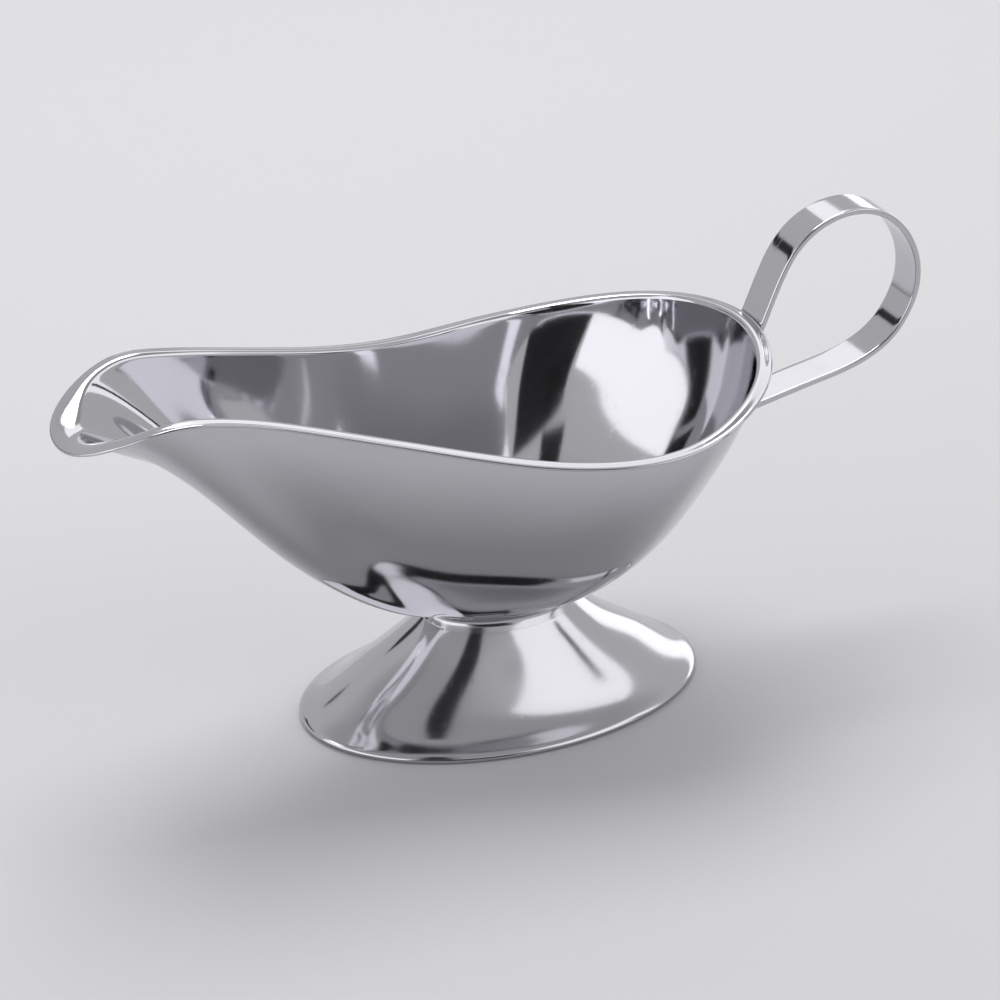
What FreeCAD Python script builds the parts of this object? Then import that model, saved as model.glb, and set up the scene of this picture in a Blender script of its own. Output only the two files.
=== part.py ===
import FreeCAD, Part
import math
import os
import Sketcher
from FreeCAD import Vector

# Gravy boat: drawn steel bowl on an oval trumpet foot with a bent strap handle.
# Frame: +Z up, z = 0 is the plane of the foot's seat, the spout points to -X,
# the handle to +X, and Y = 0 is the plane of symmetry.  Lengths in mm.

doc = FreeCAD.newDocument("gravy_boat")

# ---------------------------------------------------------------- dimensions
DIMS = [
    ("bowl_length", 171.7, "lip to lip along X"),
    ("bowl_width", 88.9, "widest point of the lip"),
    ("spout_peak", 95.3, "highest point of the lip, beside the spout"),
    ("bowl_seat", 24.2, "height of the flat under the bowl"),
    ("seat_half_x", 13.9, "half length of that flat"),
    ("seat_half_y", 8.3, "half width of that flat"),
    ("sheet", 0.8, "thickness of bowl and foot"),
    ("foot_half_x", 50.1, "half length of the foot"),
    ("foot_half_y", 32.8, "half width of the foot"),
    ("crown_half_x", 12.0, "half length of the foot's flat crown"),
    ("crown_half_y", 7.0, "half width of the foot's flat crown"),
    ("hem_width", 2.8, "flat ring the foot stands on"),
    ("strap_width", 10.0, "handle strap across Y"),
    ("strap_thick", 1.5, "handle strap thickness"),
    ("strap_edge", 0.45, "rounding of the strap's long edges"),
    ("weld_reach", 2.3, "reach of the handle weld beads"),
]
sheet = doc.addObject("Spreadsheet::Sheet", "dims")
sheet.Label = "dims"
sheet.set("A1", "dimension")
sheet.set("B1", "mm")
sheet.set("C1", "meaning")
for row, (alias, value, note) in enumerate(DIMS, start=2):
    sheet.set("A%d" % row, alias)
    sheet.set("B%d" % row, str(value))
    sheet.set("C%d" % row, note)
    sheet.setAlias("B%d" % row, alias)
doc.recompute()


def dim(alias):
    return float(sheet.get(alias))


# ------------------------------------------------------------ bowl: offsets
# One line per station of the half lip, spout tip first, back last:
# x, y, z of the lip's outer edge; lip width, lip slope, edge slope (deg);
# plan angle (deg) on the flat below; then the wall's control points between
# the lip and the flat as fractions: five across (s), four in height (h).
STATIONS = [
    (-106.6, 0.0, 86.51, 7.0, 3.0, -20.0, 180.0, 0.2331, 0.3605, 0.4872, 0.661, 0.8476, 0.8227, 0.7848, 0.5705, 0.2426),
    (-106.39, 3.19, 86.64, 7.0, 3.0, -20.0, 176.69, 0.222, 0.352, 0.4829, 0.6613, 0.8511, 0.8315, 0.7827, 0.5606, 0.2356),
    (-105.66, 6.44, 87.07, 6.95, 3.1, -19.6, 173.3, 0.1931, 0.3295, 0.4719, 0.6625, 0.8603, 0.8535, 0.7764, 0.5349, 0.2179),
    (-104.31, 9.57, 87.86, 6.75, 3.6, -18.0, 169.97, 0.1553, 0.2997, 0.458, 0.6645, 0.8721, 0.8809, 0.767, 0.5018, 0.1957),
    (-102.33, 12.41, 88.96, 6.21, 4.8, -13.7, 166.84, 0.1184, 0.2701, 0.4452, 0.6672, 0.8833, 0.9052, 0.7558, 0.47, 0.1755),
    (-99.79, 14.87, 90.31, 5.23, 7.0, -5.9, 163.97, 0.0891, 0.2459, 0.4364, 0.6706, 0.8915, 0.9211, 0.7442, 0.4459, 0.1616),
    (-96.77, 16.9, 91.78, 4.08, 9.6, 3.4, 161.39, 0.0687, 0.2282, 0.4315, 0.6742, 0.8966, 0.9283, 0.7329, 0.43, 0.1543),
    (-93.36, 18.55, 93.24, 3.29, 11.3, 9.7, 159.04, 0.0546, 0.2153, 0.4291, 0.6776, 0.8995, 0.9299, 0.7223, 0.4197, 0.151),
    (-89.57, 19.83, 94.49, 3.03, 11.9, 11.7, 156.88, 0.0449, 0.2057, 0.4283, 0.6807, 0.9008, 0.9282, 0.7125, 0.413, 0.1501),
    (-85.42, 20.74, 95.25, 3.0, 12.0, 12.0, 154.92, 0.0382, 0.1987, 0.4282, 0.6832, 0.9011, 0.9247, 0.7037, 0.4084, 0.1504),
    (-81.01, 21.22, 95.3, 3.0, 12.0, 12.0, 153.21, 0.0338, 0.1937, 0.4285, 0.6851, 0.9007, 0.9206, 0.6963, 0.4053, 0.151),
    (-76.48, 21.48, 94.75, 3.0, 12.0, 12.0, 151.56, 0.0307, 0.1898, 0.4289, 0.6865, 0.8999, 0.9162, 0.6895, 0.4028, 0.1517),
    (-71.88, 21.84, 93.89, 3.0, 12.0, 12.0, 149.63, 0.028, 0.1861, 0.4292, 0.6876, 0.8984, 0.9108, 0.6821, 0.3999, 0.1521),
    (-67.22, 22.4, 92.84, 3.0, 12.0, 12.0, 147.28, 0.0257, 0.1828, 0.4292, 0.688, 0.8961, 0.9045, 0.6738, 0.3961, 0.1516),
    (-62.51, 23.14, 91.62, 3.0, 12.0, 12.0, 144.48, 0.0245, 0.1802, 0.4287, 0.6872, 0.8927, 0.8975, 0.6652, 0.3912, 0.1498),
    (-57.73, 24.03, 90.3, 3.0, 12.0, 12.0, 141.25, 0.0245, 0.1787, 0.4274, 0.685, 0.8881, 0.8901, 0.6566, 0.3853, 0.1464),
    (-52.88, 25.02, 88.91, 3.0, 12.0, 12.0, 137.63, 0.0262, 0.1788, 0.4254, 0.6812, 0.8825, 0.8824, 0.6485, 0.3783, 0.1413),
    (-47.94, 26.08, 87.48, 3.0, 12.0, 12.0, 133.63, 0.0293, 0.1802, 0.4227, 0.6761, 0.8765, 0.8749, 0.6411, 0.3705, 0.1348),
    (-42.92, 27.22, 86.03, 3.0, 12.0, 12.0, 129.28, 0.0334, 0.1827, 0.4196, 0.6702, 0.8706, 0.8677, 0.6344, 0.3623, 0.1276),
    (-37.81, 28.45, 84.59, 3.0, 12.0, 12.0, 124.57, 0.0379, 0.1855, 0.4164, 0.6646, 0.8659, 0.8609, 0.6281, 0.3542, 0.1207),
    (-32.62, 29.84, 83.18, 3.0, 12.0, 12.0, 119.56, 0.0417, 0.1877, 0.4136, 0.6603, 0.8637, 0.8549, 0.6219, 0.3468, 0.1155),
    (-27.38, 31.39, 81.8, 3.0, 12.0, 12.0, 114.34, 0.0446, 0.1892, 0.4113, 0.6576, 0.8639, 0.8498, 0.616, 0.3404, 0.1123),
    (-22.08, 33.13, 80.49, 3.0, 12.0, 12.0, 109.06, 0.0464, 0.1901, 0.4096, 0.6563, 0.8662, 0.8459, 0.6108, 0.3351, 0.1106),
    (-16.71, 35.02, 79.29, 3.0, 12.0, 12.0, 103.9, 0.0473, 0.1907, 0.4084, 0.6561, 0.8699, 0.8432, 0.6063, 0.3309, 0.1103),
    (-11.24, 36.99, 78.23, 3.0, 12.0, 12.0, 98.96, 0.0474, 0.1911, 0.4076, 0.6565, 0.8742, 0.8416, 0.6027, 0.3276, 0.1106),
    (-5.66, 38.96, 77.35, 3.0, 12.0, 12.0, 94.31, 0.0469, 0.1915, 0.407, 0.6571, 0.8784, 0.8411, 0.5999, 0.3249, 0.1113),
    (0.07, 40.83, 76.68, 3.0, 12.0, 12.0, 89.95, 0.046, 0.1922, 0.4066, 0.6577, 0.8821, 0.8414, 0.598, 0.3228, 0.1118),
    (5.96, 42.47, 76.21, 3.0, 12.0, 12.0, 85.83, 0.0449, 0.1931, 0.4062, 0.6581, 0.8852, 0.8423, 0.5967, 0.321, 0.1121),
    (12.04, 43.74, 75.93, 3.0, 12.0, 12.0, 81.88, 0.0435, 0.1941, 0.4058, 0.6583, 0.8877, 0.8436, 0.5959, 0.3194, 0.1121),
    (18.27, 44.45, 75.87, 3.0, 12.0, 12.0, 77.96, 0.042, 0.1952, 0.4053, 0.6582, 0.8895, 0.8451, 0.5954, 0.3179, 0.1119),
    (24.61, 44.4, 76.07, 3.0, 12.0, 12.0, 73.96, 0.0404, 0.1963, 0.4048, 0.6578, 0.8908, 0.8466, 0.5949, 0.3165, 0.1116),
    (30.92, 43.41, 76.63, 3.0, 12.0, 12.0, 69.73, 0.0386, 0.1973, 0.404, 0.657, 0.8914, 0.8481, 0.5944, 0.315, 0.111),
    (37.0, 41.41, 77.53, 3.0, 12.0, 12.0, 65.14, 0.0366, 0.1981, 0.4029, 0.6557, 0.8912, 0.8493, 0.5937, 0.3135, 0.1103),
    (42.75, 38.53, 78.65, 3.0, 12.0, 12.0, 60.08, 0.0347, 0.1985, 0.4014, 0.6536, 0.8897, 0.8497, 0.5924, 0.3119, 0.1094),
    (48.1, 34.89, 79.84, 3.0, 12.0, 12.0, 54.44, 0.0328, 0.1979, 0.3992, 0.6504, 0.8864, 0.8487, 0.5901, 0.31, 0.1083),
    (52.95, 30.52, 81.0, 3.0, 12.0, 12.0, 48.02, 0.0313, 0.1957, 0.3957, 0.6455, 0.8805, 0.8449, 0.5857, 0.3077, 0.1071),
    (57.12, 25.41, 82.08, 3.0, 12.0, 12.0, 40.62, 0.0306, 0.1911, 0.3907, 0.6384, 0.8709, 0.837, 0.5784, 0.3048, 0.1059),
    (60.46, 19.66, 83.05, 3.0, 12.0, 12.0, 32.08, 0.0308, 0.184, 0.3842, 0.6291, 0.8578, 0.8248, 0.5682, 0.3014, 0.1046),
    (62.95, 13.42, 83.85, 3.0, 12.0, 12.0, 22.34, 0.0317, 0.1753, 0.3769, 0.6188, 0.8427, 0.81, 0.5562, 0.2979, 0.1034),
    (64.54, 6.82, 84.4, 3.0, 12.0, 12.0, 11.51, 0.033, 0.1673, 0.3706, 0.6098, 0.8293, 0.7963, 0.5455, 0.295, 0.1026),
    (65.11, 0.0, 84.61, 3.0, 12.0, 12.0, 0.0, 0.0337, 0.1636, 0.3678, 0.6058, 0.8234, 0.7901, 0.5408, 0.2937, 0.1022),
]
NOM_LENGTH, NOM_WIDTH, NOM_PEAK, NOM_SEAT = 171.7, 88.9, 95.3, 24.2


# -------------------------------------------------------- surface utilities
def vadd(a, b, k=1.0):
    return Vector(a.x + b.x * k, a.y + b.y * k, a.z + b.z * k)


def mirror_row(half):
    """Half row (station 0 .. n, both on Y = 0) to a closed row of 2n points."""
    back = [Vector(p.x, -p.y, p.z) for p in half[1:-1]]
    return list(half) + back[::-1]


def through(row):
    """Control points of the closed uniform cubic that passes through row."""
    n = len(row)
    ctrl = [Vector(p) for p in row]
    for _ in range(60):
        err = []
        for i in range(n):
            mean = (ctrl[i - 1] + ctrl[i] * 4.0 + ctrl[(i + 1) % n]) * (1.0 / 6.0)
            err.append(row[i] - mean)
        ctrl = [ctrl[i] + err[i] for i in range(n)]
    return ctrl


def skin(rows):
    """Closed-in-u cubic surface from control rows (clamped cubic in v)."""
    n = len(rows[0])
    m = len(rows)
    # first pole belongs to knot 1 of a uniform periodic cubic
    poles = [[rows[j][(i - 1) % n] for j in range(m)] for i in range(n)]
    inner = m - 4
    vknots = [k / float(inner + 1) for k in range(inner + 2)]
    vmults = [4] + [1] * inner + [4]
    surf = Part.BSplineSurface()
    surf.buildFromPolesMultsKnots(
        poles, [1] * (n + 1), vmults, [float(k) for k in range(n + 1)], vknots,
        True, False, 3, 3)
    return surf


def greville(m):
    inner = m - 4
    knots = [0.0] * 4 + [(k + 1) / float(inner + 1) for k in range(inner)] + [1.0] * 4
    return [(knots[j + 1] + knots[j + 2] + knots[j + 3]) / 3.0 for j in range(m)]


def pole_param(surf, point, n):
    """u of the surface point nearest to a control point."""
    return surf.parameter(point)


def normals(surf, rows, outward):
    """Unit normals at each control point's own parameters."""
    gv = greville(len(rows))
    n = len(rows[0])
    first = surf.parameter(rows[0][0])[0]
    result = []
    for j, row in enumerate(rows):
        line = []
        for i in range(n):
            u = (first + i) % n
            nv = surf.normal(u, min(max(gv[j], 1e-6), 1 - 1e-6))
            line.append(nv)
        result.append(line)
    probe = result[len(rows) // 2][0]
    at = rows[len(rows) // 2][0]
    flip = 1.0 if probe.dot(outward(at)) > 0 else -1.0
    return [[Vector(v.x * flip, v.y * flip, v.z * flip) for v in line] for line in result]


def offset_rows(rows, nrm, dist):
    return [[vadd(p, q, dist) for p, q in zip(r, s)] for r, s in zip(rows, nrm)]


def cap(row_surf, v):
    """Flat face closed by the skin's edge at v."""
    edge = row_surf.vIso(v).toShape()
    return Part.Face(Part.Wire([edge]))


def solid_from(faces, name):
    shell = Part.Shell(faces)
    shell.sewShape()
    body = Part.Solid(shell)
    if body.Volume < 0:
        body.reverse()
    if not body.isValid():
        body.fix(0.01, 0.001, 0.05)
    if not body.isValid() or body.isNull():
        raise RuntimeError("solid is not valid: " + name)
    return body


def ellipse_row(a, b, z, angles):
    return [Vector(a * math.cos(t), b * math.sin(t), z) for t in angles]


# ------------------------------------------------------------------- bowl
KX = dim("bowl_length") / NOM_LENGTH
KY = dim("bowl_width") / NOM_WIDTH
SEAT = dim("bowl_seat")
KZ = (dim("spout_peak") - SEAT) / (NOM_PEAK - NOM_SEAT)
T = dim("sheet")

edge_pts = [Vector(s[0] * KX, s[1] * KY, SEAT + (s[2] - NOM_SEAT) * KZ) for s in STATIONS]
closed = mirror_row(edge_pts)
N = len(closed)
HALF = len(edge_pts)

outdir = []
for i in range(HALF):
    before, after = closed[i - 1], closed[(i + 1) % N]
    tx, ty = after.x - before.x, after.y - before.y
    size = math.hypot(tx, ty)
    nx, ny = -ty / size, tx / size
    if nx * (edge_pts[i].x + 10.0) + ny * edge_pts[i].y < 0:
        nx, ny = -nx, -ny
    outdir.append(Vector(nx, ny, 0))
outdir[0] = Vector(-1, 0, 0)
outdir[-1] = Vector(1, 0, 0)

wall_rows = [[] for _ in range(7)]
lip_rows = [[] for _ in range(4)]
bead_rows = [[] for _ in range(4)]
for i, st in enumerate(STATIONS):
    width, slope, tip, plan = st[3], math.radians(st[4]), math.radians(st[5]), math.radians(st[6])
    s = [0.0] + list(st[7:12]) + [1.0]
    h = [1.0] + list(st[12:16]) + [0.0, 0.0]
    e, o = edge_pts[i], outdir[i]
    top = Vector(e.x - o.x * width * math.cos(slope), e.y - o.y * width * math.cos(slope),
                 e.z - width * math.sin(slope))
    if i in (0, HALF - 1):
        top.y = 0.0
    foot_pt = Vector(dim("seat_half_x") * math.cos(plan), dim("seat_half_y") * math.sin(plan), SEAT)
    col = []
    for sj, hj in zip(s, h):
        col.append(Vector(top.x + (foot_pt.x - top.x) * sj, top.y + (foot_pt.y - top.y) * sj,
                          SEAT + (top.z - SEAT) * hj))
    for j in range(7):
        wall_rows[j].append(col[j])
    rise = col[0] - col[1]
    rise.normalize()
    run = Vector(o.x * math.cos(tip), o.y * math.cos(tip), math.sin(tip))
    up = Vector(-o.x * math.sin(tip), -o.y * math.sin(tip), math.cos(tip))
    under = vadd(vadd(e, run, -T / 2), up, -T / 2)
    over = vadd(under, up, T)
    reach = (under - col[0]).Length * 0.36
    quad = [col[0], vadd(col[0], rise, reach), vadd(under, run, -reach), under]
    for j in range(4):
        lip_rows[j].append(quad[j])
    swell = T * 2.0 / 3.0
    quad = [under, vadd(under, run, swell), vadd(over, run, swell), over]
    for j in range(4):
        bead_rows[j].append(quad[j])

wall_rows = [through(mirror_row(r)) for r in wall_rows]
lip_rows = [through(mirror_row(r)) for r in lip_rows]
bead_rows = [through(mirror_row(r)) for r in bead_rows]

outer_wall = skin(wall_rows)
outer_lip = skin(lip_rows)
bead = skin(bead_rows)

wn = normals(outer_wall, wall_rows, lambda p: Vector(p.x, p.y, 0))
inner_rows = offset_rows(wall_rows, wn, -T)
for p in inner_rows[6]:
    p.z = SEAT + T
for p in inner_rows[5]:
    p.z = SEAT + T
ln = normals(outer_lip, lip_rows, lambda p: Vector(p.x, p.y, -200.0))
inner_lip = offset_rows(lip_rows, ln, -T)
inner_lip[0] = inner_rows[0]
inner_lip[3] = bead_rows[3]
for i in range(N):
    d = inner_rows[0][i] - inner_rows[1][i]
    d.normalize()
    inner_lip[1][i] = vadd(inner_rows[0][i], d, (inner_lip[1][i] - inner_rows[0][i]).Length)
    d = bead_rows[3][i] - bead_rows[2][i]
    d.normalize()
    inner_lip[2][i] = vadd(bead_rows[3][i], d, (inner_lip[2][i] - bead_rows[3][i]).Length)

inner_wall = skin(inner_rows)
lip_top = skin(inner_lip)

bowl_shape = solid_from(
    [outer_wall.toShape(), outer_lip.toShape(), bead.toShape(), lip_top.toShape(),
     inner_wall.toShape(), cap(outer_wall, 1.0), cap(inner_wall, 1.0)], "bowl")

bowl = doc.addObject("Part::Feature", "bowl")
bowl.Label = "bowl"
bowl.Shape = bowl_shape
bowl.Placement = FreeCAD.Placement()

# ------------------------------------------------------------------- foot
# Profile of the outer skin from the crown down to the seat: half length and
# half width as fractions of the foot's own, and height as a fraction of the
# crown's height.
PROFILE = [
    (0.3114, 0.3079, 1.0000), (0.3573, 0.3628, 0.9979), (0.3772, 0.3887, 0.9752),
    (0.3992, 0.4146, 0.9380), (0.4331, 0.4497, 0.8760), (0.4830, 0.5000, 0.7851),
    (0.5569, 0.5610, 0.6612), (0.6447, 0.6220, 0.5372), (0.7345, 0.6829, 0.4215),
    (0.8104, 0.7439, 0.3140), (0.8743, 0.8079, 0.2190), (0.9281, 0.8780, 0.1446),
    (0.9741, 0.9451, 0.0950), (1.0020, 0.9960, 0.0579), (1.0050, 1.0061, 0.0248),
]
M = 48
angles = [2 * math.pi * k / M for k in range(M)]
FA, FB = dim("foot_half_x"), dim("foot_half_y")
hem = dim("hem_width")
foot_rows = [ellipse_row(dim("crown_half_x"), dim("crown_half_y"), SEAT, angles)]
for fa, fb, fz in PROFILE:
    foot_rows.append(ellipse_row(FA * fa, FB * fb, SEAT * fz, angles))
foot_rows.append(ellipse_row(FA - 0.35, FB - 0.35, 0.0, angles))
foot_rows = [through(r) for r in foot_rows]
foot_outer = skin(foot_rows)
fn = normals(foot_outer, foot_rows, lambda p: Vector(p.x, p.y, 20.0))
in_rows = offset_rows(foot_rows, fn, -T)
in_rows = in_rows[:12]
for p in in_rows[0]:
    p.z = SEAT - T
for p in in_rows[1]:
    p.z = SEAT - T
in_rows += [through(ellipse_row(FA - 1.55 - hem * 0.75, FB - 1.55 - hem * 0.85, 1.55, angles)),
            through(ellipse_row(FA - 0.55 - hem, FB - 0.55 - hem, 0.75, angles)),
            through(ellipse_row(FA - 0.35 - hem, FB - 0.35 - hem, 0.0, angles))]
foot_inner = skin(in_rows)

ring_out = foot_outer.vIso(1.0).toShape()
ring_in = foot_inner.vIso(1.0).toShape()
disc = Part.Face(Part.Wire([ring_out]))
seat_face = Part.Face([Part.Wire([ring_out]), Part.Wire([ring_in])])
if abs(seat_face.Area - (disc.Area - Part.Face(Part.Wire([ring_in])).Area)) > 0.5:
    seat_face = disc.cut(Part.Face(Part.Wire([ring_in]))).Faces[0]
foot_shape = solid_from(
    [foot_outer.toShape(), foot_inner.toShape(), cap(foot_outer, 0.0), cap(foot_inner, 0.0),
     seat_face], "pedestal_foot")
foot = doc.addObject("Part::Feature", "pedestal_foot")
foot.Label = "pedestal_foot"
foot.Shape = foot_shape
foot.Placement = FreeCAD.Placement()
foot_filled = solid_from([foot_outer.toShape(), cap(foot_outer, 0.0), disc], "foot_filled")

# ----------------------------------------------------------------- handle
# Centre line of the strap in the XZ plane: from the end of the lower leg on
# the bowl's back, round the loop, over the lip and down the bowl's back.
LINE = [
    (57.22, 61.52), (61.6, 62.45), (66.0, 63.4), (71.5, 64.56), (77.0, 65.72), (82.3, 66.78),
    (87.6, 67.84), (92.64, 69.27), (97.13, 71.2), (100.56, 73.47), (103.23, 76.16),
    (105.28, 79.25), (106.8, 82.49), (107.74, 85.81), (108.03, 89.19), (107.7, 92.6),
    (106.7, 95.99), (105.1, 99.27), (102.94, 102.3), (100.3, 104.92), (97.2, 106.93),
    (93.78, 108.2), (90.1, 108.7), (86.33, 108.43), (82.65, 107.4), (79.21, 105.69),
    (76.16, 103.31), (73.6, 100.33), (71.5, 96.8), (69.68, 92.82), (67.95, 88.55),
    (66.25, 84.4), (64.5, 80.3), (62.85, 76.6), (61.35, 73.1), (60.17, 69.75), (59.0, 66.5),
]
centre = Part.BSplineCurve()
centre.interpolate([Vector(x, z, 0) for x, z in LINE])


def side_line(dist):
    first, last = centre.FirstParameter, centre.LastParameter
    pts = []
    count = 90
    for k in range(count + 1):
        u = first + (last - first) * k / count
        p = centre.value(u)
        t = centre.tangent(u)[0]
        pts.append(Vector(p.x - t.y * dist, p.y + t.x * dist, 0))
    line = Part.BSplineCurve()
    line.interpolate(pts)
    return line


def origin_plane(body, role):
    for item in body.Origin.OriginFeatures:
        if item.Role == role:
            return item
    raise RuntimeError("no origin plane " + role)


handle = doc.addObject("PartDesign::Body", "handle_strap")
handle.Label = "handle_strap"
outline = handle.newObject("Sketcher::SketchObject", "strap_outline")
outline.AttachmentSupport = [(origin_plane(handle, "XZ_Plane"), "")]
outline.MapMode = "FlatFace"
half_t = dim("strap_thick") / 2
left, right = side_line(half_t), side_line(-half_t)
a = outline.addGeometry(left, False)
b = outline.addGeometry(right, False)
la, lb = left.value(left.FirstParameter), left.value(left.LastParameter)
ra, rb = right.value(right.FirstParameter), right.value(right.LastParameter)
c = outline.addGeometry(Part.LineSegment(la, ra), False)
d = outline.addGeometry(Part.LineSegment(lb, rb), False)
outline.addConstraint(Sketcher.Constraint("Coincident", a, 1, c, 1))
outline.addConstraint(Sketcher.Constraint("Coincident", b, 1, c, 2))
outline.addConstraint(Sketcher.Constraint("Coincident", a, 2, d, 1))
outline.addConstraint(Sketcher.Constraint("Coincident", b, 2, d, 2))
doc.recompute()
strap = handle.newObject("PartDesign::Pad", "strap")
strap.Profile = outline
strap.Length = dim("strap_width")
strap.setExpression("Length", "dims.strap_width")
strap.Midplane = True
doc.recompute()
side_y = dim("strap_width") / 2
names = []
for k, edge in enumerate(strap.Shape.Edges, start=1):
    box = edge.BoundBox
    if abs(abs(box.YMin) - side_y) < 1e-3 and abs(box.YMax - box.YMin) < 1e-3 and edge.Length > 20:
        names.append("Edge%d" % k)
rounding = handle.newObject("PartDesign::Fillet", "strap_rounding")
rounding.Base = (strap, names)
rounding.Radius = dim("strap_edge")
rounding.setExpression("Radius", "dims.strap_edge")
handle.Tip = rounding
handle.Placement = FreeCAD.Placement()
doc.recompute()
strap_shape = handle.Shape.copy()


# ------------------------------------------------------------------ welds
def pick(shape, test):
    found = [s for s in shape.Solids if test(s)]
    if not found:
        raise RuntimeError("no weld solid left")
    found.sort(key=lambda s: -s.Volume)
    return found[0]


def weld_feature(name, shape):
    item = doc.addObject("Part::Feature", name)
    item.Label = name
    item.Shape = shape
    item.Placement = FreeCAD.Placement()
    return item


WELD = [
    (0.3992, 0.4177, 0.9360), (0.3862, 0.4024, 0.9628), (0.3743, 0.3872, 0.9897),
    (0.3683, 0.3796, 1.0207), (0.3733, 0.3841, 1.0537), (0.3972, 0.4146, 1.1033),
    (0.4391, 0.4695, 1.1736),
]
weld_rows = [through(ellipse_row(FA * p, FB * q, SEAT * z, angles)) for p, q, z in WELD]
weld_skin = skin(weld_rows)
collar = solid_from([weld_skin.toShape(), cap(weld_skin, 0.0), cap(weld_skin, 1.0)], "collar")
core = Part.makeCylinder(dim("crown_half_y") + 0.5, 40, Vector(0, 0, 5))
stretch = FreeCAD.Matrix()
stretch.A11 = (dim("crown_half_x") + 0.9) / (dim("crown_half_y") + 0.5)
core = core.transformGeometry(stretch)
ring = collar.cut(bowl_shape).cut(foot_filled).cut(core)
foot_weld = weld_feature("foot_weld", pick(ring, lambda s: s.CenterOfMass.z < SEAT + 2.6))

reach = dim("weld_reach")


def dollop(x, z, rx, ry, rz, tilt):
    m = FreeCAD.Matrix()
    m.A11, m.A22, m.A33 = rx, ry, rz
    ball = Part.makeSphere(1.0).transformGeometry(m)
    ball.rotate(Vector(0, 0, 0), Vector(0, 1, 0), tilt)
    ball.translate(Vector(x, 0, z))
    return ball


low = dollop(56.6, 61.45, 1.5, strap_shape.BoundBox.YMax + 1.7, reach + 0.3, 20.0)
low = low.cut(bowl_shape).cut(strap_shape)
lower_weld = weld_feature("handle_lower_weld", pick(low, lambda s: s.CenterOfMass.x > 55.5))
high = dollop(58.7, 66.3, 1.7, strap_shape.BoundBox.YMax + 1.4, reach, 18.0)
high = high.cut(bowl_shape).cut(strap_shape)
upper_weld = weld_feature("handle_upper_weld", pick(high, lambda s: s.CenterOfMass.x > 57.0))

# ------------------------------------------------------------------ output
doc.recompute()
for obj in doc.Objects:
    if "Invalid" in obj.State or "Error" in obj.State:
        raise RuntimeError("object failed: " + obj.Name)
NODES = [bowl, foot, handle, foot_weld, upper_weld, lower_weld]
for obj in NODES:
    shape = obj.Shape
    if shape.isNull() or not shape.isValid() or shape.Volume <= 0:
        raise RuntimeError("bad shape: " + obj.Label)
os.makedirs("parts", exist_ok=True)
for obj in NODES:
    obj.Shape.exportStep("parts/%s.step" % obj.Label)
    print(obj.Label, "volume %.1f" % obj.Shape.Volume, obj.Shape.BoundBox, len(obj.Shape.Solids), len(obj.Shape.Faces))
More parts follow.
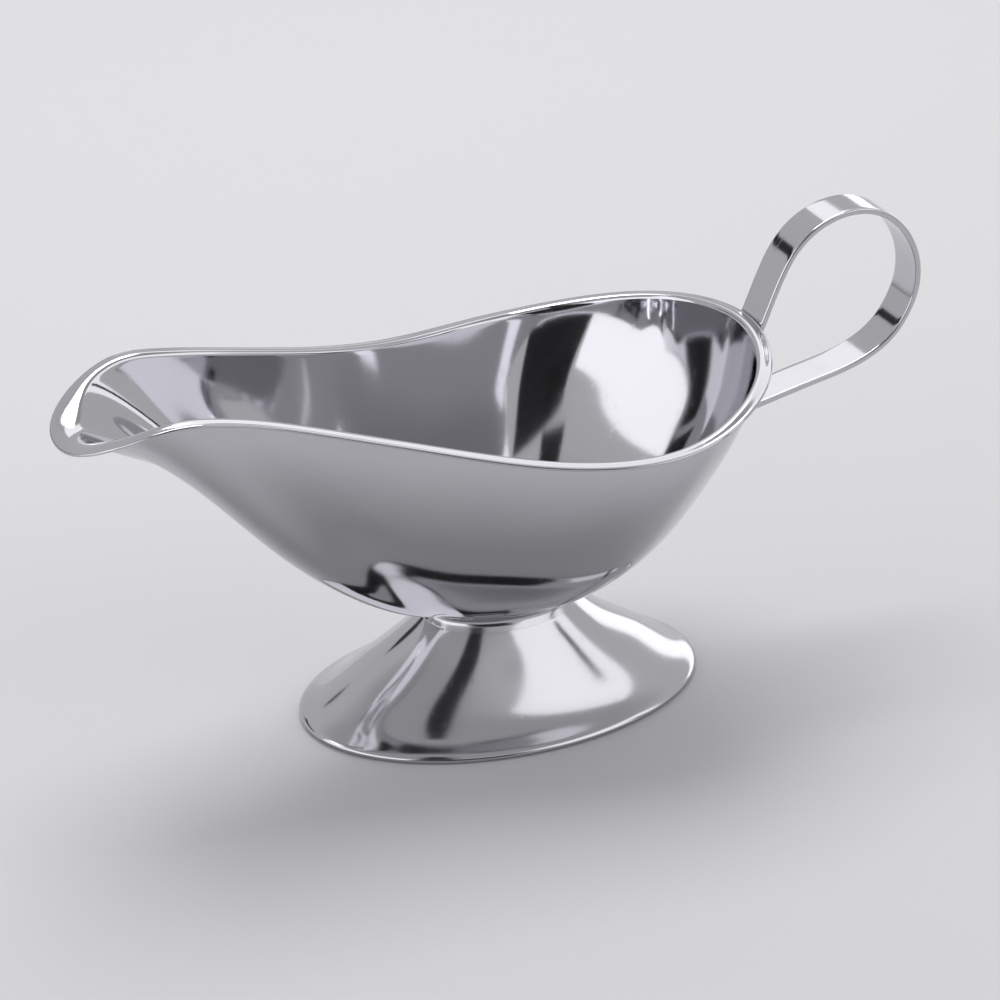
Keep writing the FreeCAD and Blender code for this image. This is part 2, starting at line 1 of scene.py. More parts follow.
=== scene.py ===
import bpy
import math
import numpy as np
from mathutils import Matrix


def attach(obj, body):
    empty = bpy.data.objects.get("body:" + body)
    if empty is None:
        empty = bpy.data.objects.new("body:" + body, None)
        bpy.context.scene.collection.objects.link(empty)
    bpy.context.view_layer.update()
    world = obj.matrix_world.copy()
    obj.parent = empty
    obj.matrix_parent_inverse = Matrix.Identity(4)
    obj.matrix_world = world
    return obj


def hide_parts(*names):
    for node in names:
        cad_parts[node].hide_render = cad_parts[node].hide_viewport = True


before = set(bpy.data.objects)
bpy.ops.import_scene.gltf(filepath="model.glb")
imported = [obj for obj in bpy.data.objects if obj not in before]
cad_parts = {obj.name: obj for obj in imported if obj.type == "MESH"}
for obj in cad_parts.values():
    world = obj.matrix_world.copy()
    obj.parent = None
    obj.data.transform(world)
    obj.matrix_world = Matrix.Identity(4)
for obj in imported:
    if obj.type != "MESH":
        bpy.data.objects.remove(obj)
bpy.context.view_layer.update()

# ------------------------------------------------------------------ shape
# Same offsets as the CAD: half-lip stations from the spout tip to the back.
# x, y, z of the lip edge; lip width, lip slope, edge slope; plan angle;
# five fractions across and four in height for the wall's control points.
STATIONS = np.array([
    (-106.6, 0.0, 86.51, 7.0, 3.0, -20.0, 180.0, 0.2331, 0.3605, 0.4872, 0.661, 0.8476, 0.8227, 0.7848, 0.5705, 0.2426),
    (-106.39, 3.19, 86.64, 7.0, 3.0, -20.0, 176.69, 0.222, 0.352, 0.4829, 0.6613, 0.8511, 0.8315, 0.7827, 0.5606, 0.2356),
    (-105.66, 6.44, 87.07, 6.95, 3.1, -19.6, 173.3, 0.1931, 0.3295, 0.4719, 0.6625, 0.8603, 0.8535, 0.7764, 0.5349, 0.2179),
    (-104.31, 9.57, 87.86, 6.75, 3.6, -18.0, 169.97, 0.1553, 0.2997, 0.458, 0.6645, 0.8721, 0.8809, 0.767, 0.5018, 0.1957),
    (-102.33, 12.41, 88.96, 6.21, 4.8, -13.7, 166.84, 0.1184, 0.2701, 0.4452, 0.6672, 0.8833, 0.9052, 0.7558, 0.47, 0.1755),
    (-99.79, 14.87, 90.31, 5.23, 7.0, -5.9, 163.97, 0.0891, 0.2459, 0.4364, 0.6706, 0.8915, 0.9211, 0.7442, 0.4459, 0.1616),
    (-96.77, 16.9, 91.78, 4.08, 9.6, 3.4, 161.39, 0.0687, 0.2282, 0.4315, 0.6742, 0.8966, 0.9283, 0.7329, 0.43, 0.1543),
    (-93.36, 18.55, 93.24, 3.29, 11.3, 9.7, 159.04, 0.0546, 0.2153, 0.4291, 0.6776, 0.8995, 0.9299, 0.7223, 0.4197, 0.151),
    (-89.57, 19.83, 94.49, 3.03, 11.9, 11.7, 156.88, 0.0449, 0.2057, 0.4283, 0.6807, 0.9008, 0.9282, 0.7125, 0.413, 0.1501),
    (-85.42, 20.74, 95.25, 3.0, 12.0, 12.0, 154.92, 0.0382, 0.1987, 0.4282, 0.6832, 0.9011, 0.9247, 0.7037, 0.4084, 0.1504),
    (-81.01, 21.22, 95.3, 3.0, 12.0, 12.0, 153.21, 0.0338, 0.1937, 0.4285, 0.6851, 0.9007, 0.9206, 0.6963, 0.4053, 0.151),
    (-76.48, 21.48, 94.75, 3.0, 12.0, 12.0, 151.56, 0.0307, 0.1898, 0.4289, 0.6865, 0.8999, 0.9162, 0.6895, 0.4028, 0.1517),
    (-71.88, 21.84, 93.89, 3.0, 12.0, 12.0, 149.63, 0.028, 0.1861, 0.4292, 0.6876, 0.8984, 0.9108, 0.6821, 0.3999, 0.1521),
    (-67.22, 22.4, 92.84, 3.0, 12.0, 12.0, 147.28, 0.0257, 0.1828, 0.4292, 0.688, 0.8961, 0.9045, 0.6738, 0.3961, 0.1516),
    (-62.51, 23.14, 91.62, 3.0, 12.0, 12.0, 144.48, 0.0245, 0.1802, 0.4287, 0.6872, 0.8927, 0.8975, 0.6652, 0.3912, 0.1498),
    (-57.73, 24.03, 90.3, 3.0, 12.0, 12.0, 141.25, 0.0245, 0.1787, 0.4274, 0.685, 0.8881, 0.8901, 0.6566, 0.3853, 0.1464),
    (-52.88, 25.02, 88.91, 3.0, 12.0, 12.0, 137.63, 0.0262, 0.1788, 0.4254, 0.6812, 0.8825, 0.8824, 0.6485, 0.3783, 0.1413),
    (-47.94, 26.08, 87.48, 3.0, 12.0, 12.0, 133.63, 0.0293, 0.1802, 0.4227, 0.6761, 0.8765, 0.8749, 0.6411, 0.3705, 0.1348),
    (-42.92, 27.22, 86.03, 3.0, 12.0, 12.0, 129.28, 0.0334, 0.1827, 0.4196, 0.6702, 0.8706, 0.8677, 0.6344, 0.3623, 0.1276),
    (-37.81, 28.45, 84.59, 3.0, 12.0, 12.0, 124.57, 0.0379, 0.1855, 0.4164, 0.6646, 0.8659, 0.8609, 0.6281, 0.3542, 0.1207),
    (-32.62, 29.84, 83.18, 3.0, 12.0, 12.0, 119.56, 0.0417, 0.1877, 0.4136, 0.6603, 0.8637, 0.8549, 0.6219, 0.3468, 0.1155),
    (-27.38, 31.39, 81.8, 3.0, 12.0, 12.0, 114.34, 0.0446, 0.1892, 0.4113, 0.6576, 0.8639, 0.8498, 0.616, 0.3404, 0.1123),
    (-22.08, 33.13, 80.49, 3.0, 12.0, 12.0, 109.06, 0.0464, 0.1901, 0.4096, 0.6563, 0.8662, 0.8459, 0.6108, 0.3351, 0.1106),
    (-16.71, 35.02, 79.29, 3.0, 12.0, 12.0, 103.9, 0.0473, 0.1907, 0.4084, 0.6561, 0.8699, 0.8432, 0.6063, 0.3309, 0.1103),
    (-11.24, 36.99, 78.23, 3.0, 12.0, 12.0, 98.96, 0.0474, 0.1911, 0.4076, 0.6565, 0.8742, 0.8416, 0.6027, 0.3276, 0.1106),
    (-5.66, 38.96, 77.35, 3.0, 12.0, 12.0, 94.31, 0.0469, 0.1915, 0.407, 0.6571, 0.8784, 0.8411, 0.5999, 0.3249, 0.1113),
    (0.07, 40.83, 76.68, 3.0, 12.0, 12.0, 89.95, 0.046, 0.1922, 0.4066, 0.6577, 0.8821, 0.8414, 0.598, 0.3228, 0.1118),
    (5.96, 42.47, 76.21, 3.0, 12.0, 12.0, 85.83, 0.0449, 0.1931, 0.4062, 0.6581, 0.8852, 0.8423, 0.5967, 0.321, 0.1121),
    (12.04, 43.74, 75.93, 3.0, 12.0, 12.0, 81.88, 0.0435, 0.1941, 0.4058, 0.6583, 0.8877, 0.8436, 0.5959, 0.3194, 0.1121),
    (18.27, 44.45, 75.87, 3.0, 12.0, 12.0, 77.96, 0.042, 0.1952, 0.4053, 0.6582, 0.8895, 0.8451, 0.5954, 0.3179, 0.1119),
    (24.61, 44.4, 76.07, 3.0, 12.0, 12.0, 73.96, 0.0404, 0.1963, 0.4048, 0.6578, 0.8908, 0.8466, 0.5949, 0.3165, 0.1116),
    (30.92, 43.41, 76.63, 3.0, 12.0, 12.0, 69.73, 0.0386, 0.1973, 0.404, 0.657, 0.8914, 0.8481, 0.5944, 0.315, 0.111),
    (37.0, 41.41, 77.53, 3.0, 12.0, 12.0, 65.14, 0.0366, 0.1981, 0.4029, 0.6557, 0.8912, 0.8493, 0.5937, 0.3135, 0.1103),
    (42.75, 38.53, 78.65, 3.0, 12.0, 12.0, 60.08, 0.0347, 0.1985, 0.4014, 0.6536, 0.8897, 0.8497, 0.5924, 0.3119, 0.1094),
    (48.1, 34.89, 79.84, 3.0, 12.0, 12.0, 54.44, 0.0328, 0.1979, 0.3992, 0.6504, 0.8864, 0.8487, 0.5901, 0.31, 0.1083),
    (52.95, 30.52, 81.0, 3.0, 12.0, 12.0, 48.02, 0.0313, 0.1957, 0.3957, 0.6455, 0.8805, 0.8449, 0.5857, 0.3077, 0.1071),
    (57.12, 25.41, 82.08, 3.0, 12.0, 12.0, 40.62, 0.0306, 0.1911, 0.3907, 0.6384, 0.8709, 0.837, 0.5784, 0.3048, 0.1059),
    (60.46, 19.66, 83.05, 3.0, 12.0, 12.0, 32.08, 0.0308, 0.184, 0.3842, 0.6291, 0.8578, 0.8248, 0.5682, 0.3014, 0.1046),
    (62.95, 13.42, 83.85, 3.0, 12.0, 12.0, 22.34, 0.0317, 0.1753, 0.3769, 0.6188, 0.8427, 0.81, 0.5562, 0.2979, 0.1034),
    (64.54, 6.82, 84.4, 3.0, 12.0, 12.0, 11.51, 0.033, 0.1673, 0.3706, 0.6098, 0.8293, 0.7963, 0.5455, 0.295, 0.1026),
    (65.11, 0.0, 84.61, 3.0, 12.0, 12.0, 0.0, 0.0337, 0.1636, 0.3678, 0.6058, 0.8234, 0.7901, 0.5408, 0.2937, 0.1022),
])
PROFILE = [
    (0.3114, 0.3079, 1.0000), (0.3573, 0.3628, 0.9979), (0.3772, 0.3887, 0.9752),
    (0.3992, 0.4146, 0.9380), (0.4331, 0.4497, 0.8760), (0.4830, 0.5000, 0.7851),
    (0.5569, 0.5610, 0.6612), (0.6447, 0.6220, 0.5372), (0.7345, 0.6829, 0.4215),
    (0.8104, 0.7439, 0.3140), (0.8743, 0.8079, 0.2190), (0.9281, 0.8780, 0.1446),
    (0.9741, 0.9451, 0.0950), (1.0020, 0.9960, 0.0579), (1.0050, 1.0061, 0.0248),
]

WELD = [
    (0.3992, 0.4177, 0.9360), (0.3862, 0.4024, 0.9628), (0.3743, 0.3872, 0.9897),
    (0.3683, 0.3796, 1.0207), (0.3733, 0.3841, 1.0537), (0.3972, 0.4146, 1.1033),
    (0.4391, 0.4695, 1.1736),
]

LINE = [
    (57.22, 61.52), (61.6, 62.45), (66.0, 63.4), (71.5, 64.56), (77.0, 65.72), (82.3, 66.78),
    (87.6, 67.84), (92.64, 69.27), (97.13, 71.2), (100.56, 73.47), (103.23, 76.16),
    (105.28, 79.25), (106.8, 82.49), (107.74, 85.81), (108.03, 89.19), (107.7, 92.6),
    (106.7, 95.99), (105.1, 99.27), (102.94, 102.3), (100.3, 104.92), (97.2, 106.93),
    (93.78, 108.2), (90.1, 108.7), (86.33, 108.43), (82.65, 107.4), (79.21, 105.69),
    (76.16, 103.31), (73.6, 100.33), (71.5, 96.8), (69.68, 92.82), (67.95, 88.55),
    (66.25, 84.4), (64.5, 80.3), (62.85, 76.6), (61.35, 73.1), (60.17, 69.75), (59.0, 66.5),
]

SEAT, T = 24.2, 0.8
SEAT_X, SEAT_Y = 13.9, 8.3
FA, FB, HEM = 50.1, 32.8, 2.8


def closed_row(half):
    back = half[1:-1][::-1] * np.array([1, -1, 1])
    return np.vstack([half, back])


def through(row):
    """Control points of the closed uniform cubic through row."""
    ctrl = row.copy()
    for _ in range(60):
        mean = (np.roll(ctrl, 1, 0) + 4 * ctrl + np.roll(ctrl, -1, 0)) / 6
        ctrl = ctrl + row - mean
    return ctrl


def periodic_points(ctrl, sub):
    """(rows, n, 3) control rows to (rows, n * sub, 3) points on the closed cubic."""
    n = ctrl.shape[1]
    out = np.zeros((ctrl.shape[0], n * sub, 3))
    for k in range(sub):
        t = k / sub
        w = [(1 - t) ** 3 / 6, (3 * t ** 3 - 6 * t ** 2 + 4) / 6,
             (-3 * t ** 3 + 3 * t ** 2 + 3 * t + 1) / 6, t ** 3 / 6]
        p = (w[0] * np.roll(ctrl, 1, 1) + w[1] * ctrl + w[2] * np.roll(ctrl, -1, 1)
             + w[3] * np.roll(ctrl, -2, 1))
        out[:, k::sub] = p
    return out


def clamped_basis(m, ts):
    inner = m - 4
    knots = np.r_[[0.0] * 4, (np.arange(inner) + 1) / (inner + 1), [1.0] * 4]
    ts = np.clip(ts, 0, 1 - 1e-12)
    basis = np.zeros((len(ts), m + 3))
    for j in range(m + 3):
        basis[:, j] = (ts >= knots[j]) & (ts < knots[j + 1])
    for p in range(1, 4):
        new = np.zeros((len(ts), m + 3 - p))
        for j in range(m + 3 - p):
            a, b = knots[j + p] - knots[j], knots[j + p + 1] - knots[j + 1]
            if a > 0:
                new[:, j] += (ts - knots[j]) / a * basis[:, j]
            if b > 0:
                new[:, j] += (knots[j + p + 1] - ts) / b * basis[:, j + 1]
        basis = new
    return basis


def skin(rows, count, sub):
    """Points of the skin: (count, n * sub, 3)."""
    rows = np.array(rows)
    ts = np.linspace(0, 1, count)
    grid = np.einsum("tm,mnc->tnc", clamped_basis(len(rows), ts), periodic_points(rows, sub))
    return grid


def grid_normals(g):
    du = np.roll(g, -1, 1) - np.roll(g, 1, 1)
    dv = np.gradient(g, axis=0)
    n = np.cross(du, dv)
    return n / (np.linalg.norm(n, axis=2, keepdims=True) + 1e-12)


def bowl_grids(sub):
    edge = STATIONS[:, :3].copy()
    closed = closed_row(edge)
    count = len(edge)
    tang = np.roll(closed, -1, 0)[:count] - np.roll(closed, 1, 0)[:count]
    out = np.stack([-tang[:, 1], tang[:, 0]], 1)
    out /= np.linalg.norm(out, axis=1, keepdims=True)
    flip = (out[:, 0] * (edge[:, 0] + 10) + out[:, 1] * edge[:, 1]) < 0
    out[flip] *= -1
    out[0], out[-1] = (-1, 0), (1, 0)
    width = STATIONS[:, 3:4]
    slope, tip, plan = (np.radians(STATIONS[:, k:k + 1]) for k in (4, 5, 6))
    top = np.hstack([edge[:, :2] - out * width * np.cos(slope), edge[:, 2:3] - width * np.sin(slope)])
    top[[0, -1], 1] = 0
    flat = np.hstack([SEAT_X * np.cos(plan), SEAT_Y * np.sin(plan)])
    s = np.hstack([np.zeros((count, 1)), STATIONS[:, 7:12], np.ones((count, 1))])
    h = np.hstack([np.ones((count, 1)), STATIONS[:, 12:16], np.zeros((count, 2))])
    wall = []
    for j in range(7):
        xy = top[:, :2] + (flat - top[:, :2]) * s[:, j:j + 1]
        wall.append(np.hstack([xy, SEAT + (top[:, 2:3] - SEAT) * h[:, j:j + 1]]))
    rise = wall[0] - wall[1]
    rise /= np.linalg.norm(rise, axis=1, keepdims=True)
    run = np.hstack([out * np.cos(tip), np.sin(tip)])
    up = np.hstack([-out * np.sin(tip), np.cos(tip)])
    under = edge - run * T / 2 - up * T / 2
    over = under + up * T
    reach = np.linalg.norm(under - wall[0], axis=1, keepdims=True) * 0.36
    lip = [wall[0], wall[0] + rise * reach, under - run * reach, under]
    bead = [under, under + run * T * 2 / 3, over + run * T * 2 / 3, over]
    wall, lip, bead = ([through(closed_row(r)) for r in rows] for rows in (wall, lip, bead))
    gw = skin(wall, 94, sub)
    gl = skin(lip, 22, sub)
    gb = skin(bead, 9, sub)
    # one run of rows from the outer flat up, over the lip and down inside
    outer = np.concatenate([gw[::-1], gl[1:]], 0)
    nrm = grid_normals(outer)
    mid = outer[len(outer) // 2, 0] * np.array([1, 1, 0])
    if (nrm[len(outer) // 2, 0] * mid).sum() < 0:
        nrm = -nrm
    inner = (outer - nrm * T)[::-1]
    inner[-1, :, 2] = SEAT + T
    inner[0] = gb[-1]
    inner[1] = inner[1] * 0.6 + (inner[0] + inner[2]) * 0.2
    return outer, gb, inner


def mesh_from_rows(name, rows, close_start, close_end):
    """Tube of quads from rows of points, its ends closed by fans of shrinking rings."""
    rows = [np.asarray(r) for r in rows]

    def closing(ring):
        c = ring.mean(0)
        return [c + (ring - c) * k for k in (0.75, 0.5, 0.25)], c

    n = len(rows[0])
    extra_a, extra_b = [], []
    ca = cb = None
    if close_start:
        extra_a, ca = closing(rows[0])
        rows = extra_a[::-1] + rows
    if close_end:
        extra_b, cb = closing(rows[-1])
        rows = rows + extra_b
    verts = np.vstack(rows)
    m = len(rows)
    faces = []
    for i in range(m - 1):
        a = i * n
        for j in range(n):
            k = (j + 1) % n
            faces.append((a + j, a + k, a + n + k, a + n + j))
    verts = list(map(tuple, verts / 1000.0))
    if close_start:
        verts.append(tuple(ca / 1000.0))
        c = len(verts) - 1
        faces += [(c, (j + 1) % n, j) for j in range(n)]
    if close_end:
        verts.append(tuple(cb / 1000.0))
        c = len(verts) - 1
        a = (m - 1) * n
        faces += [(c, a + j, a + (j + 1) % n) for j in range(n)]
    mesh = bpy.data.meshes.new(name)
    mesh.from_pydata(verts, [], faces)
    mesh.validate()
    mesh.update()
    import bmesh
    bm = bmesh.new()
    bm.from_mesh(mesh)
    bmesh.ops.recalc_face_normals(bm, faces=bm.faces)
    bm.to_mesh(mesh)
    bm.free()
    for p in mesh.polygons:
        p.use_smooth = True
    obj = bpy.data.objects.new(name, mesh)
    bpy.context.scene.collection.objects.link(obj)
    return obj


def ellipse(a, b, z, m=48):
    t = 2 * np.pi * np.arange(m) / m
    return np.stack([a * np.cos(t), b * np.sin(t), np.full(m, z)], 1)


# -- bowl
outer, bead, inner = bowl_grids(5)
rows = list(outer) + list(bead[1:-1]) + list(inner)
bowl = mesh_from_rows("steel_bowl", rows, True, True)

# -- foot
frows = [ellipse(12.0, 7.0, SEAT)] + [ellipse(FA * a, FB * b, SEAT * z) for a, b, z in PROFILE]
frows.append(ellipse(FA - 0.35, FB - 0.35, 0.0))
frows = [through(r) for r in frows]
fo = skin(frows, 120, 8)
fn = grid_normals(fo)
if fn[60, 0, 0] < 0:
    fn = -fn
fi = fo - fn * T
keep = fi[:, 0, 2] > 2.6
fi = fi[keep]
fi[0, :, 2] = SEAT - T
end = fi[-1]
turn = []
ang = 2 * np.pi * np.arange(end.shape[0]) / end.shape[0]


def oval(a, b, z):
    return np.stack([a * np.cos(ang), b * np.sin(ang), np.full(len(ang), z)], 1)


lower = [oval(FA - 0.55 - HEM, FB - 0.55 - HEM, 1.1), oval(FA - 0.4 - HEM, FB - 0.4 - HEM, 0.35),
         oval(FA - 0.25 - HEM, FB - 0.25 - HEM, 0.0)]
for k in (1, 2, 3):
    turn.append(end + (lower[0] - end) * (k / 4.0) ** 0.8)
seat = [fo[-1] + (lower[-1] - fo[-1]) * k for k in (0.2, 0.5, 0.8)]
frows_all = list(fo) + seat + lower[::-1] + turn[::-1] + list(fi[::-1])
foot = mesh_from_rows("steel_foot", frows_all, True, True)

# -- strap
pts = np.array(LINE)


def spline(points, per):
    """Natural C2 cubic through points, chord-length parameter."""
    d = np.r_[0, np.cumsum(np.linalg.norm(np.diff(points, axis=0), axis=1))]
    n = len(points)
    h = np.diff(d)
    A = np.zeros((n, n))
    rhs = np.zeros((n, 2))
    A[0, 0] = A[-1, -1] = 1
    for i in range(1, n - 1):
        A[i, i - 1], A[i, i], A[i, i + 1] = h[i - 1], 2 * (h[i - 1] + h[i]), h[i]
        rhs[i] = 6 * ((points[i + 1] - points[i]) / h[i] - (points[i] - points[i - 1]) / h[i - 1])
    mm = np.linalg.solve(A, rhs)
    res = []
    for i in range(n - 1):
        for k in range(per):
            x = k / per * h[i]
            a, b = h[i] - x, x
            res.append((mm[i] * a ** 3 + mm[i + 1] * b ** 3) / (6 * h[i])
                       + (points[i] / h[i] - mm[i] * h[i] / 6) * a
                       + (points[i + 1] / h[i] - mm[i + 1] * h[i] / 6) * b)
    res.append(points[-1])
    return np.array(res)


mid = spline(pts, 8)
tan = np.gradient(mid, axis=0)
tan /= np.linalg.norm(tan, axis=1, keepdims=True)
nor = np.stack([-tan[:, 1], tan[:, 0]], 1)
HW, HT, ER = 5.0, 0.75, 0.45


def strap_section():
    """Rounded rectangle: across the strap, and through its thickness."""
    res = []
    for cx, cy, a0 in ((HW - ER, HT - ER, 0), (-HW + ER, HT - ER, 90), (-HW + ER, -HT + ER, 180),
                       (HW - ER, -HT + ER, 270)):
        for k in range(7):
            a = math.radians(a0 + 15 * k)
            res.append((cx + ER * math.cos(a), cy + ER * math.sin(a)))
    full = []
    for i, p in enumerate(res):
        q = res[(i + 1) % len(res)]
        full.append(p)
        gap = math.hypot(q[0] - p[0], q[1] - p[1])
        if gap > 2:
            for k in range(1, 10):
                full.append((p[0] + (q[0] - p[0]) * k / 10, p[1] + (q[1] - p[1]) * k / 10))
    return full


sec = strap_section()
srows = []
for p, nv in zip(mid, nor):
    srows.append(np.array([(p[0] + nv[0] * b, a, p[1] + nv[1] * b) for a, b in sec]))
strap = mesh_from_rows("steel_strap", srows, True, True)

for piece, node in ((bowl, "bowl"), (foot, "pedestal_foot"), (strap, "handle_strap")):
    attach(piece, "root")
    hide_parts(node)

# -------------------------------------------------------------- materials


def steel(name, tint, rough, scratch, cloud, grain_axis):
    mat = bpy.data.materials.new(name)
    mat.use_nodes = True
    nt = mat.node_tree
    nt.nodes.clear()
    out = nt.nodes.new("ShaderNodeOutputMaterial")
    bsdf = nt.nodes.new("ShaderNodeBsdfPrincipled")
    nt.links.new(bsdf.outputs[0], out.inputs[0])
    bsdf.inputs["Metallic"].default_value = 1.0
    coord = nt.nodes.new("ShaderNodeTexCoord")

    def noise(scale, detail, stretch=(1, 1, 1), rot=(0, 0, 0)):
        mp = nt.nodes.new("ShaderNodeMapping")
        mp.inputs["Scale"].default_value = stretch
        mp.inputs["Rotation"].default_value = rot
        nt.links.new(coord.outputs["Object"], mp.inputs["Vector"])
        tex = nt.nodes.new("ShaderNodeTexNoise")
        tex.inputs["Scale"].default_value = scale
        tex.inputs["Detail"].default_value = detail
        nt.links.new(mp.outputs[0], tex.inputs["Vector"])
        return tex.outputs["Fac"]

    def remap(src, a, b, c, d):
        node = nt.nodes.new("ShaderNodeMapRange")
        node.inputs[1].default_value, node.inputs[2].default_value = a, b
        node.inputs[3].default_value, node.inputs[4].default_value = c, d
        nt.links.new(src, node.inputs[0])
        return node.outputs[0]

    def math_node(op, a, b=None, value=None):
        node = nt.nodes.new("ShaderNodeMath")
        node.operation = op
        nt.links.new(a, node.inputs[0])
        if b is not None:
            nt.links.new(b, node.inputs[1])
        elif value is not None:
            node.inputs[1].default_value = value
        return node.outputs[0]

    # colour: a faint cloudy film left by polishing
    film = noise(26, 4)
    ramp = nt.nodes.new("ShaderNodeValToRGB")
    ramp.color_ramp.elements[0].position = 0.30
    ramp.color_ramp.elements[1].position = 0.70
    ramp.color_ramp.elements[0].color = (tint[0] * 0.95, tint[1] * 0.95, tint[2] * 0.96, 1)
    ramp.color_ramp.elements[1].color = (tint[0], tint[1], tint[2], 1)
    nt.links.new(film, ramp.inputs[0])
    nt.links.new(ramp.outputs[0], bsdf.inputs["Base Color"])

    # roughness: mirror with soft hazy patches, and fine hairline scratches
    haze = remap(noise(18, 5), 0.35, 0.75, rough, rough + cloud)
    hair = noise(900, 2, grain_axis)
    hair = remap(hair, 0.60, 0.80, 0.0, scratch)
    total = math_node("ADD", haze, hair)
    nt.links.new(total, bsdf.inputs["Roughness"])

    # bump: barely visible rolling ripple, orange peel and hairlines
    peel = remap(noise(420, 2), 0.3, 0.7, 0.0, 1.0)
    fine = math_node("ADD", math_node("MULTIPLY", peel, value=0.25), math_node("MULTIPLY", hair, value=2.0))
    wave = math_node("MULTIPLY", noise(35, 1), value=3.0)
    height = math_node("ADD", fine, wave)
    bump = nt.nodes.new("ShaderNodeBump")
    bump.inputs["Strength"].default_value = 0.10
    bump.inputs["Distance"].default_value = 0.00004
    nt.links.new(height, bump.inputs["Height"])
    nt.links.new(bump.outputs[0], bsdf.inputs["Normal"])
    return mat


bowl_mat = steel("polished_bowl", (0.572, 0.568, 0.594), 0.065, 0.07, 0.06, (1.0, 1.0, 0.08))
foot_mat = steel("polished_foot", (0.572, 0.568, 0.594), 0.10, 0.08, 0.06, (1.0, 1.0, 0.10))
strap_mat = steel("polished_strap", (0.572, 0.568, 0.594), 0.09, 0.10, 0.06, (0.10, 1.0, 0.10))
weld_mat = steel("polished_weld", (0.56, 0.555, 0.58), 0.14, 0.08, 0.10, (1.0, 1.0, 1.0))
for piece, mat in ((bowl, bowl_mat), (foot, foot_mat), (strap, strap_mat)):
    piece.data.materials.clear()
    piece.data.materials.append(mat)
for name in ("foot_weld", "handle_upper_weld", "handle_lower_weld"):
    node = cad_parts[name]
    if not node.material_slots:
        node.data.materials.append(weld_mat)
    for s in node.material_slots:
        s.material = weld_mat
    # closes up the few zero-length edges where the bead meets the sheet
    merge = node.modifiers.new("merge", "WELD")
    merge.merge_threshold = 0.0000002

# ------------------------------------------------------------------ studio


def plain(name, colour, rough=0.9, emit=0.0):
    mat = bpy.data.materials.new(name)
    mat.use_nodes = True
    b = mat.node_tree.nodes["Principled BSDF"]
    b.inputs["Base Color"].default_value = (*colour, 1)
    b.inputs["Roughness"].default_value = rough
    if emit:
        b.inputs["Emission Color"].default_value = (1, 1, 1, 1)
        b.inputs["Emission Strength"].default_value = emit
    return mat


def quad(name, corners, mat):
    mesh = bpy.data.meshes.new(name)
    mesh.from_pydata([tuple(c) for c in corners], [], [(0, 1, 2, 3)])
    mesh.materials.append(mat)
    obj = bpy.data.objects.new(name, mesh)
    bpy.context.scene.collection.objects.link(obj)
    return obj


floor = quad("floor", [(-3, -3, -0.0002), (3, -3, -0.0002), (3, 3, -0.0002), (-3, 3, -0.0002)], plain("floor", (0.60, 0.60, 0.607)))

world = bpy.data.worlds.new("studio")
bpy.context.scene.world = world
world.use_nodes = True
bg = world.node_tree.nodes["Background"]
bg.inputs[0].default_value = (1.0, 1.0, 1.01, 1)
bg.inputs[1].default_value = 0.60
# ---- studio: pale walls, six softboxes, and plain dark flags ----
from mathutils import Vector
AIM = Vector((0.0, 0.0, 0.06))


def toward(az, el, dist):
    a, e = math.radians(az), math.radians(el)
    return AIM + dist * Vector((math.cos(e) * math.cos(a), math.cos(e) * math.sin(a), math.sin(e)))


def softbox(name, az, el, dist, wide, tall, radiance):
    data = bpy.data.lights.new(name, "AREA")
    data.shape = "RECTANGLE"
    data.size, data.size_y = wide, tall
    data.energy = math.pi * wide * tall * radiance
    data.color = (1.0, 0.995, 1.02)
    ob = bpy.data.objects.new(name, data)
    ob.location = toward(az, el, dist)
    ob.rotation_euler = (AIM - ob.location).to_track_quat("-Z", "Y").to_euler()
    ob.visible_camera = False
    bpy.context.collection.objects.link(ob)
    return ob


flag_mat = plain("flag_cloth", (0.012, 0.012, 0.013), 0.9)


def flag(name, az0, az1, el0, el1, dist, lean=0.0, lean_right=0.0):
    """Plain dark cloth on a stand, beyond the camera; the leans slant its two upright edges."""
    def at(az, el):
        a = math.radians(az)
        return (dist * math.cos(a), dist * math.sin(a), AIM.z + dist * math.tan(math.radians(el)))
    ob = quad(name, [at(az0, el0), at(az1, el0), at(az1 + lean_right, el1), at(az0 + lean, el1)], flag_mat)
    ob.visible_camera = False
    return ob


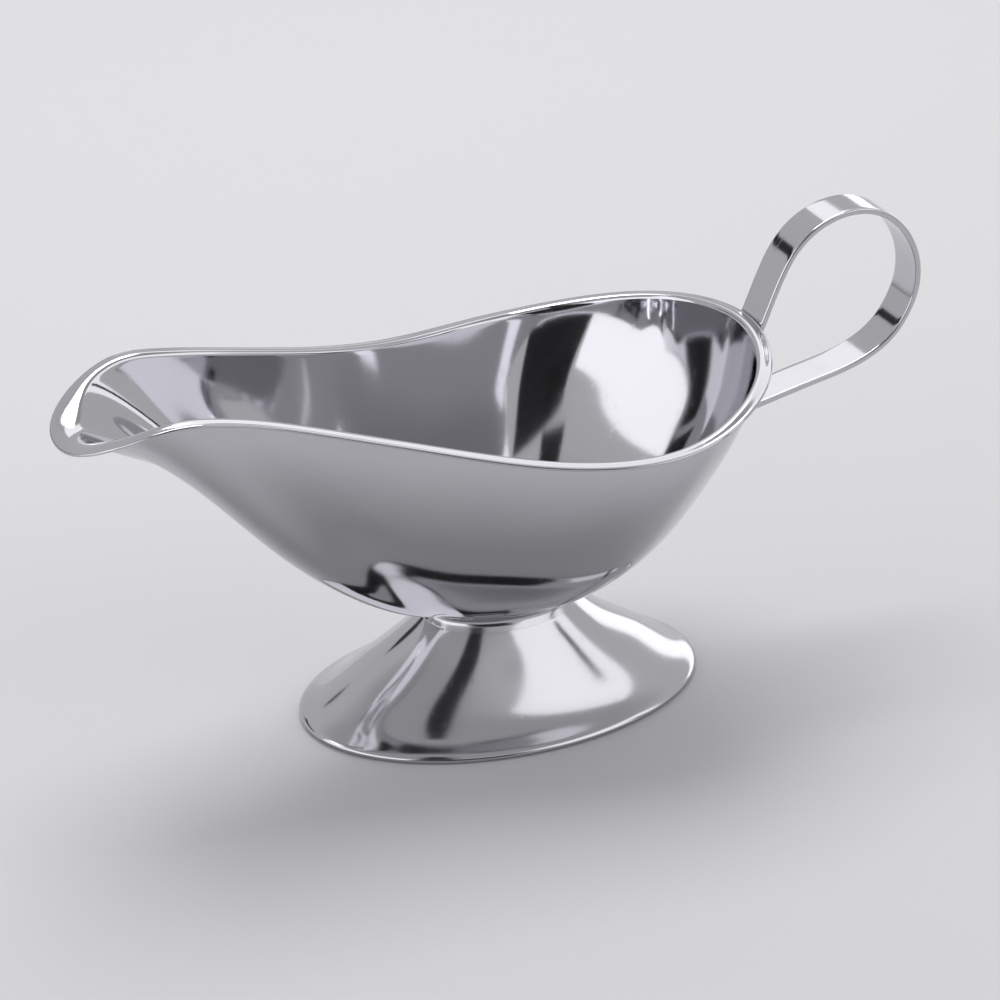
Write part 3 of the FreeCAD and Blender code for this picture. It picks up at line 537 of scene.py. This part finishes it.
softbox("softbox_left", -165, 17.5, 1.35, 1.89, 0.70, 0.98)
softbox("softbox_left_high", 163, 38, 1.35, 0.34, 0.26, 1.7)
softbox("softbox_key_back", 84, 68, 1.30, 0.80, 0.76, 5.4)
softbox("softbox_back", 58, 43, 1.35, 0.95, 0.50, 0.85)
softbox("softbox_right", -42, 32, 1.35, 1.20, 0.86, 0.80)
softbox("softbox_low_right", 32, 9, 1.35, 1.05, 0.38, 1.15)

# the open camera side of the light tent, and the dark drape above it
flag("flag_camera_side", -131, -86.5, -1.5, 31, 1.60, 9.0, 13.0)
flag("flag_drape", -126, -106, 34, 76, 1.10)
# stand of the right-hand softbox, and the gap under the back one
flag("flag_stand", -33, -28, 0, 30, 1.00)
flag("flag_back_gap", 112, 138, 17, 24, 1.50)

# pale walls with a dimmer ceiling above them
wnt = world.node_tree
wsep = wnt.nodes.new("ShaderNodeSeparateXYZ")
wnt.links.new(wnt.nodes.new("ShaderNodeTexCoord").outputs["Generated"], wsep.inputs[0])
wmap = wnt.nodes.new("ShaderNodeMapRange")
wmap.interpolation_type = "SMOOTHSTEP"
wmap.inputs[1].default_value, wmap.inputs[2].default_value = 0.62, 0.84
wmap.inputs[3].default_value, wmap.inputs[4].default_value = 0.62, 0.43
wnt.links.new(wsep.outputs[2], wmap.inputs[0])
wnt.links.new(wmap.outputs[0], bg.inputs[1])


# ------------------------------------------------------------------ camera
az, el, dist = math.radians(-24.843), math.radians(27.494), 0.818157
back = (math.sin(az) * math.cos(el), -math.cos(az) * math.cos(el), math.sin(el))
cam = bpy.data.cameras.new("camera")
cam.sensor_width = 36.0
cam.sensor_fit = "HORIZONTAL"
cam.lens = 3500.0 / 1000.0 * 36.0
cam.clip_start, cam.clip_end = 0.01, 20.0
cam_obj = bpy.data.objects.new("camera", cam)
bpy.context.scene.collection.objects.link(cam_obj)
from mathutils import Matrix, Vector
right = Vector((math.cos(az), math.sin(az), 0))
bk = Vector(back)
upv = bk.cross(right)
pos = Vector((0.000098, 0, 0.049967)) + bk * dist
cam_obj.matrix_world = Matrix(((right.x, upv.x, bk.x, pos.x), (right.y, upv.y, bk.y, pos.y),
                               (right.z, upv.z, bk.z, pos.z), (0, 0, 0, 1)))
bpy.context.scene.camera = cam_obj
bpy.context.scene.view_settings.view_transform = "Standard"
